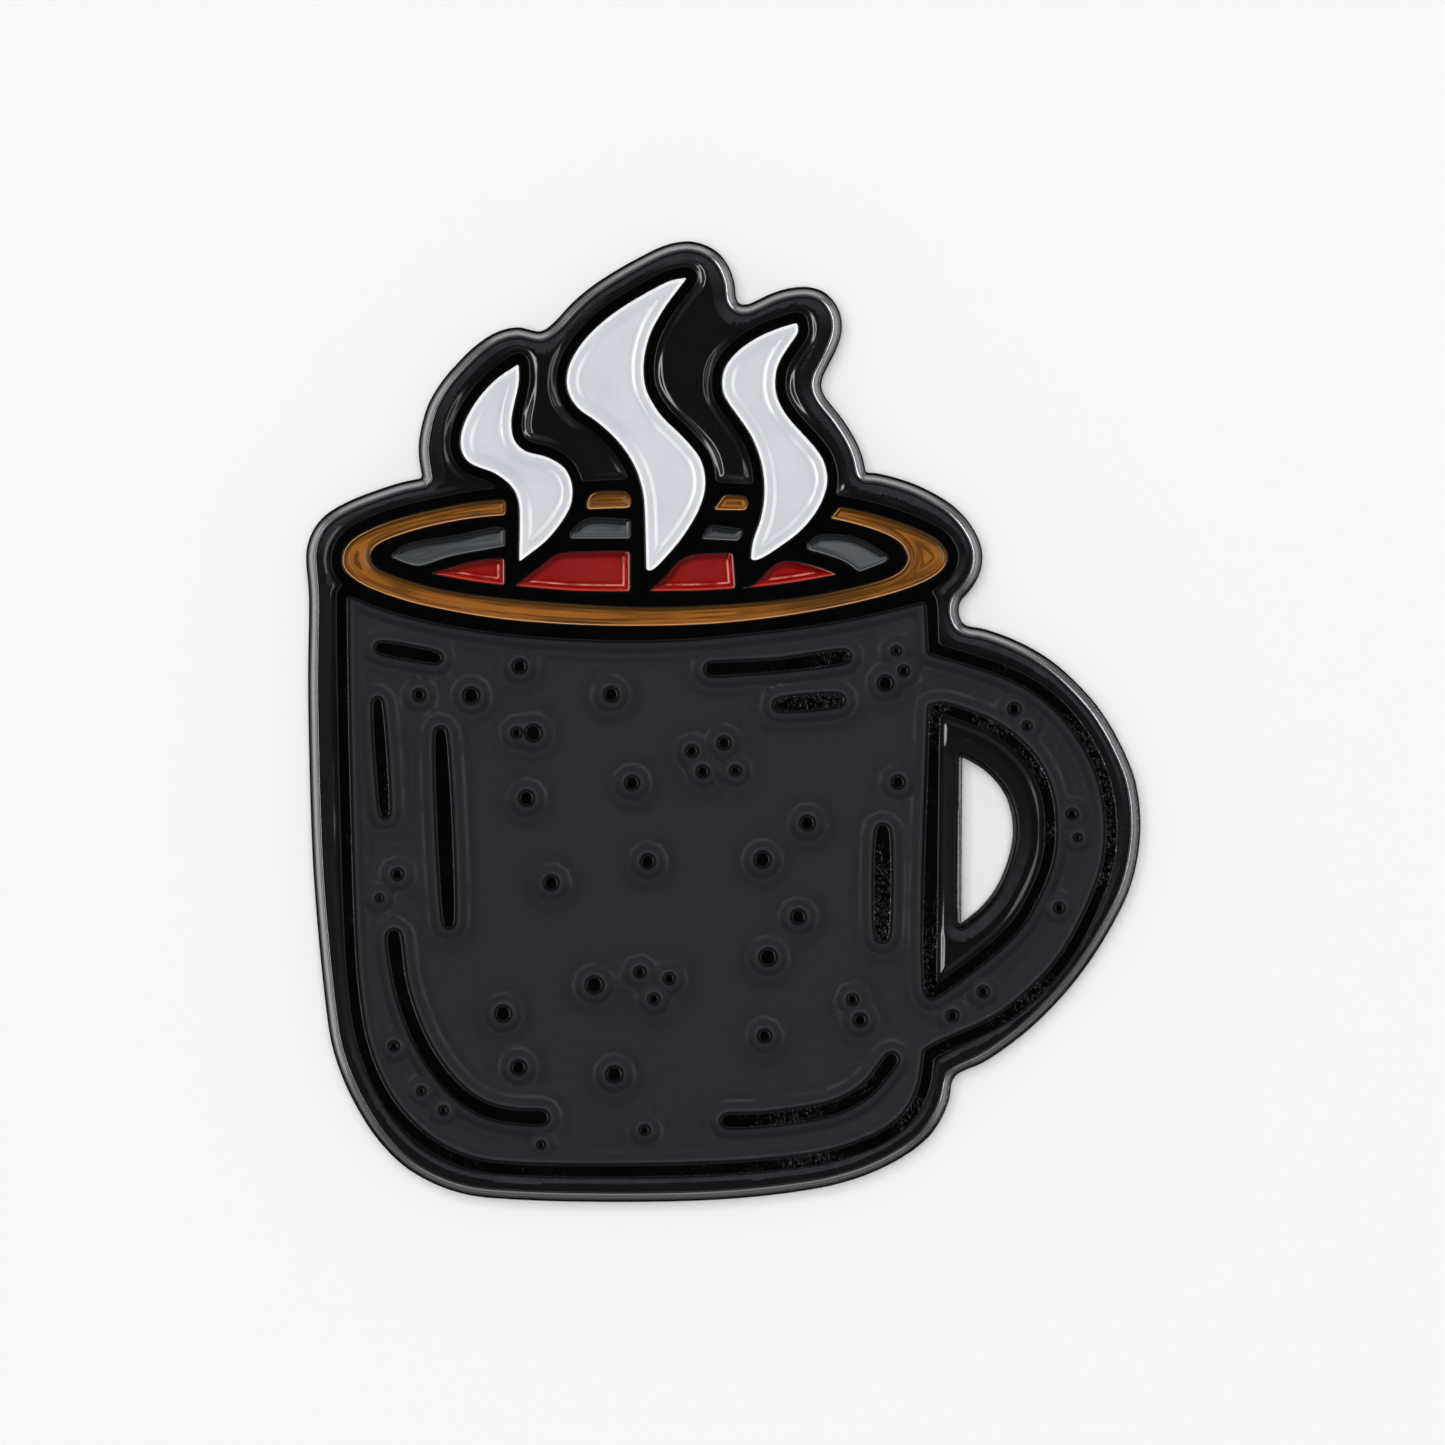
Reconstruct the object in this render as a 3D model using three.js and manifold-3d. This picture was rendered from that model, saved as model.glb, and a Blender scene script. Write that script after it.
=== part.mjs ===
// Soft-enamel lapel pin in the shape of a steaming coffee mug, in millimetres.
//
// The struck metal plate carries raised lines; every recess between them is filled with enamel.
// Two posts are soldered to the back, and a butterfly clutch grips each post.
// The pin hangs upright: +Z is up, the face looks along -Y, the back face of the plate is at y = 0.

import * as THREE from 'three';
import { mergeVertices } from 'three/addons/utils/BufferGeometryUtils.js';
import Module from 'manifold-3d';

const wasm = await Module();
wasm.setup();

// ---------- driving dimensions ----------

const PLATE_THICKNESS = 1.5; // back face to the top of the raised lines
const WELL_FLOOR = 1.05; // height of the floor of every recess
const ENAMEL_TOP = 1.35; // the fill stops just short of the raised lines
const CUTTER_TOP = 2; // anything above the plate
const RIM_WIDTH = 0.4; // raised edge all round the pin
const MUG_LINE = 0.5; // raised line round the mug, its handle and its lip
const STEAM_LINE = 0.47; // raised line round each wisp of steam
const OPENING_RIM = 0.24; // raised edge round the opening of the handle
const CURVE_STEP = 0.1; // spacing of the points that a curve is worked out with
const CURVE_TOLERANCE = 0.02; // how far a finished outline may cut inside its curve
const DOT_SIDES = 8;
const POST_SIDES = 16;
const CUP_SIDES = 32;

const POST_LENGTH = 8;
const POST_RADIUS = 0.55;
const POST_POINT = { length: 1.1, radius: 0.12 }; // the ground point, and what is left at its end
const POST_GROOVE = { depth: 0.12, slope: 0.2, start: 6, end: 6.7 }; // ring below the point
const POST_HEAD = { radius: 1.4, thickness: 0.3 }; // flat head that is soldered to the plate
const SOLDER = { radius: 1.9, waistRadius: 1.55, waistHeight: 0.18 };
const POST_X = -3;
const POST_HEIGHTS = { upper: 7.5, lower: -9.5 };

const SHEET = 0.35; // sheet thickness of a clutch
const CLUTCH_GAP = 1.2; // room for cloth between the plate and a clutch
const CUP_RADIUS = 5.6;
const CUP_HOLE = 0.85;
// Out along the floor, over the rolled rim and back: distance in from the cup's radius, and height.
const CUP_SECTION = [
  [0.9, 0], [0.25, 0.25], [0, 0.8], [0.1, 1.3], [0.4, 1.4], [0.75, 1.25], [0.65, 0.9], [0.45, 0.95],
  [0.35, 0.8], [0.5, 0.5], [1, SHEET],
];
const BRIDGE = { length: 5.8, width: 5.8, top: 3, edge: 0.3, foot: 0.75, footReach: 0.9, hole: 0.9 };
const WING_WIDTH = 4.2;
// Middle of a wing's strip, jaw to tip: distance from the post, and height above the cup's base.
const WING_LINE = [
  [0.825, 1.35], [1.6, 1.5], [2.7, 1.62], [3.6, 1.95], [4.2, 2.75], [4.65, 3.9], [5.2, 5.2],
];
// Half of a wing's outline seen along the post: distance from the post, and half width.
const WING_PLAN = [
  [0, 1.1], [1.2, 1.6], [3, 1.9], [5, 2.1], [5.45, 1.4], [5.6, 0],
];
const WING_PIECES = 14; // straight pieces that the bent strip is made of

// ---------- artwork, from the front: x to the right, y up, origin at the middle of the pin ----------
// Each outline is a list of smooth runs. A run is a spline through its points, and runs meet in corners.

const SILHOUETTE = [
  [ // over the three wisps of steam
    [-11.85, 9.65], [-11.95, 10.2], [-12, 10.8], [-11.9, 11.6], [-11.6, 12.6], [-11.05, 13.5],
    [-10.45, 14.2], [-9.75, 14.88], [-9.05, 15.35], [-8.5, 15.55], [-8, 15.6], [-7.5, 15.5], [-7.2, 15.44],
    [-6.95, 15.55], [-6.65, 15.8], [-6, 16.5], [-5.3, 17.12], [-4.45, 17.7], [-3.4, 18.3],
    [-2.5, 18.75], [-1.9, 18.94], [-1.35, 19], [-0.75, 18.88], [-0.17, 18.55], [0.2, 18.08],
    [0.42, 17.55], [0.52, 17.05], [0.54, 16.75], [0.7, 16.52], [1, 16.52], [1.5, 16.75], [2.15, 17.02],
    [2.85, 17.18], [3.5, 17.18], [4.05, 16.97], [4.47, 16.52], [4.69, 15.95], [4.69, 15.35],
    [4.42, 14.57], [4.04, 13.82], [3.89, 13.36], [4.03, 12.9], [4.7, 12.03], [5.2, 11.25],
    [5.52, 10.5], [5.66, 9.87],
  ],
  [ // round the lip of the mug and down the handle
    [5.66, 9.87], [6.1, 9.84], [7.3, 9.52], [8.25, 9.1], [9.2, 8.48], [9.87, 7.7], [10.22, 6.9],
    [10.25, 6.35], [10.12, 5.8], [9.78, 5.23], [9.42, 4.82], [9.32, 4.5], [9.37, 4.15], [9.55, 3.87],
    [10.3, 3.7], [11.2, 3.4], [12.15, 2.96], [13.1, 2.35], [14, 1.54], [14.78, 0.67], [15.42, -0.3],
    [15.9, -1.25], [16.27, -2.2], [16.46, -3.25], [16.5, -4.2], [16.42, -5.1], [16.22, -6.1],
    [15.9, -7], [15.1, -8.5], [14.45, -9.5], [13.6, -10.6], [12.4, -11.85], [11.5, -12.6],
    [10.5, -13.3], [9.16, -14],
  ],
  [ // under the mug and up its left side
    [9.16, -14], [9.02, -14.65], [8.84, -15.2], [8.55, -15.8], [8.1, -16.4], [7.5, -16.9],
    [6.65, -17.42], [5.5, -17.93], [4.3, -18.28], [3.1, -18.5], [0.9, -18.76], [-1.3, -18.89],
    [-4.85, -18.93], [-8.3, -18.83], [-10.05, -18.65], [-11.3, -18.25], [-12.55, -17.53],
    [-13.6, -16.48], [-14.45, -15.17], [-15.05, -13.9], [-15.45, -12.6], [-15.72, -10.7],
    [-15.98, -8.1], [-16.18, -5.4], [-16.3, -1.5], [-16.37, 2], [-16.34, 5.3], [-16.44, 6.4],
    [-16.4, 6.95], [-16.22, 7.48], [-15.93, 7.93], [-15.5, 8.32], [-14.95, 8.64], [-14.2, 8.97],
    [-13.45, 9.23], [-12.6, 9.5], [-11.85, 9.65],
  ],
];

const STEAM = {
  left: [
    [
      [-8.05, 14.15], [-8.95, 13.53], [-9.8, 12.55], [-10.28, 11.5], [-10.3, 10.75], [-9.98, 10.26],
      [-9, 9.85], [-8.3, 9.3], [-8.05, 8.75], [-8, 7.5], [-8.02, 6.35],
    ],
    [
      [-8.02, 6.35], [-7.5, 6.75], [-6.95, 7.2], [-6.3, 8], [-5.98, 8.65], [-5.95, 9.4],
      [-6.25, 10.05], [-7, 10.5], [-7.8, 10.72], [-8.22, 11.15], [-8.34, 11.85], [-8.2, 12.7],
      [-8.04, 13.45], [-8.05, 14.15],
    ],
  ],
  middle: [
    [
      [-1.4, 17.56], [-2, 17.45], [-3, 16.95], [-4.5, 16], [-5.6, 14.9], [-6.1, 13.9], [-6.1, 13.1],
      [-5.7, 12.42], [-4.95, 11.87], [-4.1, 11.08], [-3.45, 10.1], [-3.12, 9], [-3.05, 7.5], [-3, 6],
    ],
    [
      [-3, 6], [-2.78, 6.02], [-2.3, 6.48], [-1.6, 7.3], [-0.9, 8.5], [-0.68, 9.45], [-0.88, 10.4],
      [-1.6, 11.3], [-2.45, 12.15], [-3, 13.1], [-3.12, 14.1], [-2.87, 15.3], [-2.2, 16.5], [-1.4, 17.56],
    ],
  ],
  right: [
    [
      [2.95, 15.78], [2.3, 15.58], [1.4, 15.2], [0.5, 14.55], [0.07, 13.9], [0.03, 13.05],
      [0.5, 12.25], [1.15, 11.3], [1.55, 10.2], [1.66, 9], [1.5, 8], [1.2, 7.1], [1.12, 6.42],
    ],
    [
      [1.12, 6.42], [1.4, 6.43], [2.2, 6.92], [3.05, 7.55], [3.8, 8.5], [4.13, 9.5], [3.95, 10.4],
      [3.3, 11.25], [2.55, 12.1], [2.12, 12.95], [2.15, 14], [2.6, 14.85], [2.97, 15.4], [2.95, 15.78],
    ],
  ],
};

const LIP_OUTSIDE = [
  [-8.57, 8.79], [-9.5, 8.72], [-10.9, 8.48], [-12.35, 8.15], [-13.3, 7.87], [-14.1, 7.52],
  [-14.65, 7.17], [-14.95, 6.7], [-14.93, 6.1], [-14.5, 5.65], [-13.8, 5.27], [-12.35, 4.77],
  [-10.5, 4.37], [-8.6, 4.08], [-6, 3.88], [-3.3, 3.82], [-0.4, 3.91], [2.5, 4.22], [5, 4.68],
  [7.25, 5.28], [8.3, 5.75], [8.75, 6.15], [8.87, 6.58], [8.62, 7.07], [7.95, 7.5], [6.6, 8.02],
  [5.4, 8.34], [4.62, 8.5],
];
const LIP_FAR_EDGE = [[4.62, 8.5], [0.9, 8.95], [-3.7, 9.14], [-8.57, 8.79]]; // hidden behind the steam
const LIP_INSIDE = [
  [4.28, 8.06], [5.1, 7.88], [6.3, 7.5], [7.05, 7.07], [7.35, 6.5], [7.1, 6.03], [6.5, 5.68],
  [5.4, 5.38], [3.9, 5.04], [2.2, 4.81], [-0.4, 4.6], [-3.3, 4.53], [-7, 4.73], [-10, 5.04],
  [-11.9, 5.42], [-13.1, 5.82], [-13.7, 6.13], [-13.92, 6.5], [-13.83, 6.83], [-13.5, 7.1],
  [-12.35, 7.54], [-11, 7.87], [-9.8, 8.08], [-8.57, 8.19],
];
const LIP = {
  loop: [LIP_OUTSIDE, [LIP_OUTSIDE.at(-1), LIP_INSIDE[0]], LIP_INSIDE, [LIP_INSIDE.at(-1), LIP_OUTSIDE[0]]],
  left_gap: polygon([-5.34, 8.42], [-5.3, 8.8], [-5.12, 9.04], [-3.8, 9.12], [-3.63, 8.8], [-3.66, 8.48]),
  middle_gap: polygon([-0.33, 8.4], [0.06, 8.97], [0.9, 8.93], [1, 8.62], [0.91, 8.38]),
};

const INSIDE_WALL = {
  left: [
    [[-8.6, 7.66], [-8.97, 7.68], [-10.45, 7.38], [-12.1, 7.1], [-12.72, 6.9], [-13.05, 6.54]],
    [[-13.05, 6.54], [-12.6, 6.34], [-12, 6.2]],
    [[-12, 6.2], [-10.9, 6.53], [-9.6, 6.78], [-8.6, 6.97]],
    [[-8.6, 6.97], [-8.6, 7.66]],
  ],
  left_gap: polygon([-6, 7.27], [-5.95, 7.5], [-5.4, 8], [-3.65, 8], [-3.65, 7.27]),
  middle_gap: polygon([-0.79, 7.25], [-0.48, 7.79], [0.81, 7.6], [0.62, 7.18]),
  right: [
    [[3.35, 7], [3.74, 7.35], [4.4, 7.4], [5.1, 7.32], [5.75, 7.06], [6.52, 6.58]],
    [[6.52, 6.58], [6.5, 6.42], [5.95, 6.17], [5.4, 5.95]],
    [[5.4, 5.95], [4.8, 6.37], [4.1, 6.63], [3.4, 6.82]],
    [[3.4, 6.82], [3.35, 7]],
  ],
};

const COFFEE = {
  left: [
    [[-11.45, 5.88], [-10.45, 6.18], [-9.7, 6.36], [-8.62, 6.47]],
    [[-8.62, 6.47], [-8.62, 5.43]],
    [[-8.62, 5.43], [-9.7, 5.57], [-10.6, 5.73], [-11.45, 5.88]],
  ],
  left_gap: [
    [[-8.15, 5.4], [-7.5, 5.88], [-6.95, 6.32], [-6.5, 6.62]],
    [[-6.5, 6.62], [-5.2, 6.72], [-3.67, 6.75]],
    [[-3.67, 6.75], [-3.67, 5.18]],
    [[-3.67, 5.18], [-6, 5.22], [-8.15, 5.4]],
  ],
  middle_gap: [
    [[-2.85, 5.2], [-2.2, 5.78], [-1.75, 6.3], [-1.25, 6.57], [-0.4, 6.63], [0.4, 6.68]],
    [[0.4, 6.68], [0.5, 5.3]],
    [[0.5, 5.3], [-0.9, 5.22], [-2.85, 5.2]],
  ],
  right: [
    [[0.85, 5.32], [1.25, 5.42], [1.6, 5.78], [2, 6.15], [2.45, 6.34], [3.65, 6.17], [4.52, 5.84]],
    [[4.52, 5.84], [3.8, 5.72], [2.5, 5.5], [0.85, 5.32]],
  ],
};

const BODY_OUTSIDE = [
  [
    [-14.78, 5], [-13.7, 4.55], [-12, 4.05], [-10, 3.66], [-8, 3.4], [-5, 3.22], [-3.2, 3.2], [-1.3, 3.27],
    [0.6, 3.44], [2.5, 3.65], [4.4, 3.93], [6.3, 4.33], [8, 4.75],
  ],
  [[8, 4.75], [8.1, 2.72]],
  [
    [8.1, 2.72], [8.85, 2.5], [10, 2.16], [11.15, 1.75], [12.25, 1.18], [13.15, 0.46], [13.87, -0.4],
    [14.45, -1.36], [14.85, -2.35], [15.07, -3.48], [15.1, -4.62], [14.93, -5.8], [14.5, -6.96],
    [14.07, -7.9], [13.5, -8.92], [12.9, -9.72], [12.15, -10.5], [11.3, -11.22], [10.6, -11.68],
    [9.4, -12.25], [8.6, -12.58], [7.94, -12.93],
  ],
  [
    [7.94, -12.93], [7.72, -14.35], [7.27, -15.27], [6.55, -15.95], [5.6, -16.45], [4, -16.95],
    [1.35, -17.28], [-1.3, -17.41], [-3.3, -17.46], [-6, -17.45], [-8.3, -17.4], [-9.75, -17.21],
    [-11, -16.7], [-12.05, -15.93], [-12.93, -14.92], [-13.62, -13.64], [-14.05, -12.3],
    [-14.3, -10.74], [-14.45, -8.98], [-14.55, -6], [-14.72, 0], [-14.78, 5],
  ],
];
const HANDLE_LOOP = [
  [
    [8.13, 0.68], [8.7, 0.76], [9.53, 0.53], [10.6, 0.11], [11.5, -0.47], [12.25, -1.21], [12.8, -2.12],
    [13.1, -3.1], [13.18, -4.1], [13.12, -5.2], [12.86, -6.13], [12.45, -7.05], [11.93, -7.93],
    [11.3, -8.66], [10.7, -9.2], [10, -9.74], [9.2, -10.37], [8.5, -10.83], [8.2, -10.93], [7.98, -10.65],
  ],
  [[7.98, -10.65], [8.13, 0.68]],
];
const HANDLE_OPENING = [
  [
    [9.46, -1.36], [10.14, -1.74], [10.75, -2.27], [11.2, -2.95], [11.42, -3.7], [11.46, -4.5],
    [11.25, -5.5], [10.82, -6.5], [10.2, -7.3], [9.42, -7.94],
  ],
  [[9.42, -7.94], [9.46, -1.36]],
];

// Raised dashes of the stipple drawing: centre line and width.
const DASHES = [
  { width: 0.47, line: [[-13.5, 2.95], [-11.3, 2.55]] },
  { width: 0.4, line: [[-13.62, 0.8], [-13.33, -3.6]] },
  { width: 0.48, line: [[-11.13, -0.4], [-10.8, -7.9]] },
  { width: 0.53, line: [[-0.45, 2.1], [2.2, 2.25], [4.8, 2.6]] },
  { width: 0.53, line: [[2.26, 0.69], [4.56, 0.88]] },
  { width: 0.58, line: [[6.33, -4.3], [6.3, -8.4]] },
  {
    width: 0.58,
    line: [
      [-12.97, -8.45], [-12.8, -9.9], [-12.52, -11.05], [-12, -12.4], [-11.3, -13.6], [-10.5, -14.53],
      [-9.5, -15.23], [-8.4, -15.53], [-7.14, -15.6],
    ],
  },
  {
    width: 0.55,
    line: [[0.19, -15.73], [1.33, -15.7], [3.1, -15.49], [4.5, -15.18], [5.7, -14.5], [6.68, -13.3]],
  },
];

// Raised dots of the stipple drawing: x, y, radius.
const DOTS = [
  [-8.01, 2.21, 0.27], [-11.97, 1.08, 0.23], [-9.92, 1.06, 0.31], [-4.4, 1.11, 0.28], [-8.13, -0.4, 0.2],
  [-7.47, -0.42, 0.32], [-7.74, -2.99, 0.29], [-3.57, -2.39, 0.27], [-6.76, -6.33, 0.28],
  [-12.83, -5.99, 0.22], [-13.54, -6.93, 0.14], [-2.95, -5.48, 0.27], [-1.21, -1.13, 0.23],
  [0.06, -0.81, 0.25], [-0.78, -1.94, 0.23], [0.51, -1.9, 0.2], [6.86, 2.83, 0.17], [7.15, 2.04, 0.2],
  [6.43, 1.55, 0.29], [6.93, -2.36, 0.25], [3.35, -3.97, 0.28], [1.58, -5.42, 0.31],
  [2.99, -7.67, 0.28], [1.8, -9.26, 0.33], [-3.26, -9.85, 0.21], [-2.1, -10.11, 0.21],
  [-2.71, -10.92, 0.21], [5.13, -10.94, 0.21], [5.43, -11.74, 0.25], [1.66, -12.37, 0.25],
  [-4.27, -13.89, 0.31], [-3.07, -16.09, 0.19], [-8.66, -11.49, 0.31], [-5.06, -10.36, 0.33],
  [-8.05, -13.62, 0.28], [-12.97, -12.78, 0.19], [-11.89, -14.54, 0.16], [-11.02, -15.31, 0.17],
  [-7.16, -16.67, 0.15], [11.52, 0.53, 0.23], [12.02, -0.13, 0.17], [13.8, -3.62, 0.2],
  [14.02, -4.54, 0.14], [13.29, -7.32, 0.2], [10.29, -10.63, 0.21], [9.08, -11.58, 0.22],
];

// ---------- materials ----------

function finish(color, roughness, metalness) {
  return new THREE.MeshStandardMaterial({ color, roughness, metalness });
}

const BLACK_METAL = finish(0x131416, 0.3, 0.9);
const WHITE_ENAMEL = finish(0xe4e6ec, 0.2, 0);
const AMBER_ENAMEL = finish(0xb8701e, 0.2, 0);
const GREY_ENAMEL = finish(0x6b7072, 0.25, 0);
const RED_ENAMEL = finish(0xa01208, 0.2, 0);
const CHARCOAL_ENAMEL = finish(0x2a2b2f, 0.3, 0);
const BLACK_ENAMEL = finish(0x17171a, 0.25, 0);
const STEEL = finish(0x8c8e92, 0.35, 1);
const SOLDER_METAL = finish(0x9a9a98, 0.5, 0.9);
const BRASS = finish(0xc9a24e, 0.3, 1);
const SPRING_BRASS = finish(0xd2ae62, 0.28, 1);

// ---------- outlines ----------

function polygon(...corners) {
  return corners.map((corner, i) => [corner, corners[(i + 1) % corners.length]]);
}

// Points along one run, with its last point left to the next run.
function runPoints(run) {
  const curve = new THREE.CatmullRomCurve3(
    run.map(([x, y]) => new THREE.Vector3(x, y, 0)), false, 'centripetal');
  const pieces = Math.max(1, Math.round(curve.getLength() / CURVE_STEP));
  return curve.getSpacedPoints(pieces).map((p) => new THREE.Vector2(p.x, p.y));
}

// The closed outline that a list of runs describes, as closely spaced points in anticlockwise order.
function trace(runs) {
  const points = runs.flatMap((run) => runPoints(run).slice(0, -1));
  return THREE.ShapeUtils.isClockWise(points) ? points.reverse() : points;
}

function distanceToSegment(point, a, b) {
  const along = b.clone().sub(a);
  const share = point.clone().sub(a).dot(along) / along.lengthSq();
  return point.distanceTo(a.clone().addScaledVector(along, THREE.MathUtils.clamp(share, 0, 1)));
}

function distanceToOutline(point, points) {
  return Math.min(...points.map((a, i) => distanceToSegment(point, a, points[(i + 1) % points.length])));
}

// An anticlockwise outline moved outward by a distance, or inward by a negative one. Corners on the
// outside of the turn become arcs, and whatever would fold back over the outline is dropped.
function offset(points, distance) {
  const arcStep = Math.PI / 12;
  const normals = points.map((point, i) => {
    const next = points[(i + 1) % points.length];
    return Math.atan2(point.x - next.x, next.y - point.y);
  });
  const moved = points.flatMap((point, i) => {
    const before = normals.at(i - 1);
    const change = normals[i] - before - 1e-9; // a line drawn out and back turns left at its ends
    const turn = Math.atan2(Math.sin(change), Math.cos(change));
    const place = (angle, reach) =>
      new THREE.Vector2(point.x + reach * Math.cos(angle), point.y + reach * Math.sin(angle));
    if (turn * distance < 0 || Math.abs(turn) < arcStep) {
      return [place(before + turn / 2, distance / Math.cos(turn / 2))];
    }
    const steps = Math.ceil(Math.abs(turn) / arcStep);
    return Array.from({ length: steps + 1 }, (_, k) => place(before + (turn * k) / steps, distance));
  });
  const kept = Math.abs(distance) * 0.995;
  return moved.filter((point) => distanceToOutline(point, points) > kept);
}

// The fewest of an open line's points that stay within the tolerance of all of them.
function thin(points) {
  const first = points[0];
  const last = points.at(-1);
  let farthest = 0;
  let most = CURVE_TOLERANCE;
  for (let i = 1; i < points.length - 1; i++) {
    const away = distanceToSegment(points[i], first, last);
    if (away > most) [most, farthest] = [away, i];
  }
  if (!farthest) return [first, last];
  return [...thin(points.slice(0, farthest + 1)).slice(0, -1), ...thin(points.slice(farthest))];
}

function thinClosed(points) {
  const first = points[0];
  const reach = points.map((point) => point.distanceTo(first));
  const far = reach.indexOf(Math.max(...reach));
  return [
    ...thin(points.slice(0, far + 1)).slice(0, -1),
    ...thin([...points.slice(far), first]).slice(0, -1),
  ];
}

function circle([x, y, radius]) {
  return Array.from({ length: DOT_SIDES }, (_, i) => {
    const angle = (2 * Math.PI * i) / DOT_SIDES;
    return new THREE.Vector2(x + radius * Math.cos(angle), y + radius * Math.sin(angle));
  });
}

// A line with round ends: the centre line out and back, moved outward by half the width.
function dash({ line, width }) {
  const there = runPoints(line);
  const back = there.slice(1, -1).reverse();
  const sides = [...there, ...back];
  return offset(sides, width / 2);
}

// ---------- solids ----------

// A flat slab of an outline, with holes, between two heights above the back of the plate.
function slab(outline, from, to, holes = []) {
  const shape = new THREE.Shape(thinClosed(outline));
  shape.holes = holes.map((hole) => new THREE.Path(thinClosed(hole)));
  const geometry = new THREE.ExtrudeGeometry(shape, { depth: to - from, bevelEnabled: false });
  return geometry.translate(0, 0, from);
}

function solid(geometry) {
  const bare = geometry.clone();
  bare.deleteAttribute('normal');
  bare.deleteAttribute('uv');
  const merged = mergeVertices(bare, 1e-5);
  return new wasm.Manifold(new wasm.Mesh({
    numProp: 3,
    vertProperties: new Float32Array(merged.attributes.position.array),
    triVerts: new Uint32Array(merged.index.array),
  }));
}

function surface(body) {
  const { vertProperties, triVerts } = body.getMesh();
  const geometry = new THREE.BufferGeometry();
  geometry.setAttribute('position', new THREE.BufferAttribute(new Float32Array(vertProperties), 3));
  geometry.setIndex(new THREE.BufferAttribute(new Uint32Array(triVerts), 1));
  geometry.computeVertexNormals();
  return geometry;
}

// ---------- the enamelled plate ----------

const silhouette = trace(SILHOUETTE);
const opening = trace(HANDLE_OPENING);
const bodyOutside = trace(BODY_OUTSIDE);
const handleLoop = trace(HANDLE_LOOP);
const lipOutside = trace([LIP_OUTSIDE, LIP_FAR_EDGE]);
const stipple = [...DASHES.map(dash), ...DOTS.map(circle)];

// Everything drawn inside the border channel, up to the outer edge of its raised line.
function drawing(from, to) {
  const figures = [offset(bodyOutside, MUG_LINE), offset(lipOutside, MUG_LINE)];
  for (const wisp of Object.values(STEAM)) figures.push(offset(trace(wisp), STEAM_LINE));
  return figures.map((figure) => solid(slab(figure, from, to))).reduce((all, one) => all.add(one));
}

// Each recess as a function that gives its solid between two heights.
const recesses = {
  border_enamel: (from, to) => {
    const field = solid(slab(offset(silhouette, -RIM_WIDTH), from, to));
    return field.subtract(drawing(from - 1, to + 1));
  },
  handle_border_enamel: (from, to) =>
    solid(slab(offset(handleLoop, -MUG_LINE), from, to, [offset(opening, OPENING_RIM)])),
  body_enamel: (from, to) => solid(slab(bodyOutside, from, to, [handleLoop, ...stipple])),
};
function addRecesses(prefix, outlines) {
  for (const [name, runs] of Object.entries(outlines)) {
    const outline = trace(runs);
    recesses[`${prefix}_${name}`] = (from, to) => solid(slab(outline, from, to));
  }
}
addRecesses('steam_enamel', STEAM);
addRecesses('lip_enamel', LIP);
addRecesses('inside_wall_enamel', INSIDE_WALL);
addRecesses('coffee_enamel', COFFEE);

const ENAMEL_COLOURS = {
  border: BLACK_ENAMEL,
  handle: BLACK_ENAMEL,
  body: CHARCOAL_ENAMEL,
  steam: WHITE_ENAMEL,
  lip: AMBER_ENAMEL,
  inside: GREY_ENAMEL,
  coffee: RED_ENAMEL,
};

function part(name, geometry, material) {
  const mesh = new THREE.Mesh(geometry, material);
  mesh.name = name;
  return mesh;
}

function plate() {
  let body = solid(slab(silhouette, 0, PLATE_THICKNESS, [opening]));
  for (const recess of Object.values(recesses)) body = body.subtract(recess(WELL_FLOOR, CUTTER_TOP));
  return part('base_plate', surface(body), BLACK_METAL);
}

function enamels() {
  return Object.entries(recesses).map(([name, recess]) =>
    part(name, surface(recess(WELL_FLOOR, ENAMEL_TOP)), ENAMEL_COLOURS[name.split('_')[0]]));
}

// ---------- posts and clutches, built along +Z and turned to point out of the back ----------

function lathe(profile, sides) {
  const points = profile.map(([radius, height]) => new THREE.Vector2(radius, height));
  return new THREE.LatheGeometry(points, sides).rotateX(Math.PI / 2);
}

function post(name) {
  const neck = POST_RADIUS - POST_GROOVE.depth;
  return part(`${name}_post`, lathe([
    [0, 0], [POST_HEAD.radius, 0], [POST_HEAD.radius, POST_HEAD.thickness],
    [POST_RADIUS, POST_HEAD.thickness], [POST_RADIUS, POST_GROOVE.start],
    [neck, POST_GROOVE.start + POST_GROOVE.slope], [neck, POST_GROOVE.end - POST_GROOVE.slope],
    [POST_RADIUS, POST_GROOVE.end], [POST_RADIUS, POST_LENGTH - POST_POINT.length],
    [POST_POINT.radius, POST_LENGTH], [0, POST_LENGTH],
  ], POST_SIDES), STEEL);
}

function solder(name) {
  return part(`${name}_solder`, lathe([
    [POST_HEAD.radius, 0], [SOLDER.radius, 0], [SOLDER.waistRadius, SOLDER.waistHeight],
    [POST_HEAD.radius, POST_HEAD.thickness], [POST_HEAD.radius, 0],
  ], POST_SIDES), SOLDER_METAL);
}

function cup(name) {
  const wall = CUP_SECTION.map(([inset, height]) => [CUP_RADIUS - inset, height]);
  const section = [[CUP_HOLE, 0], ...wall, [CUP_HOLE, SHEET], [CUP_HOLE, 0]];
  return part(`${name}_clutch_cup`, lathe(section, CUP_SIDES), BRASS);
}

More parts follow.
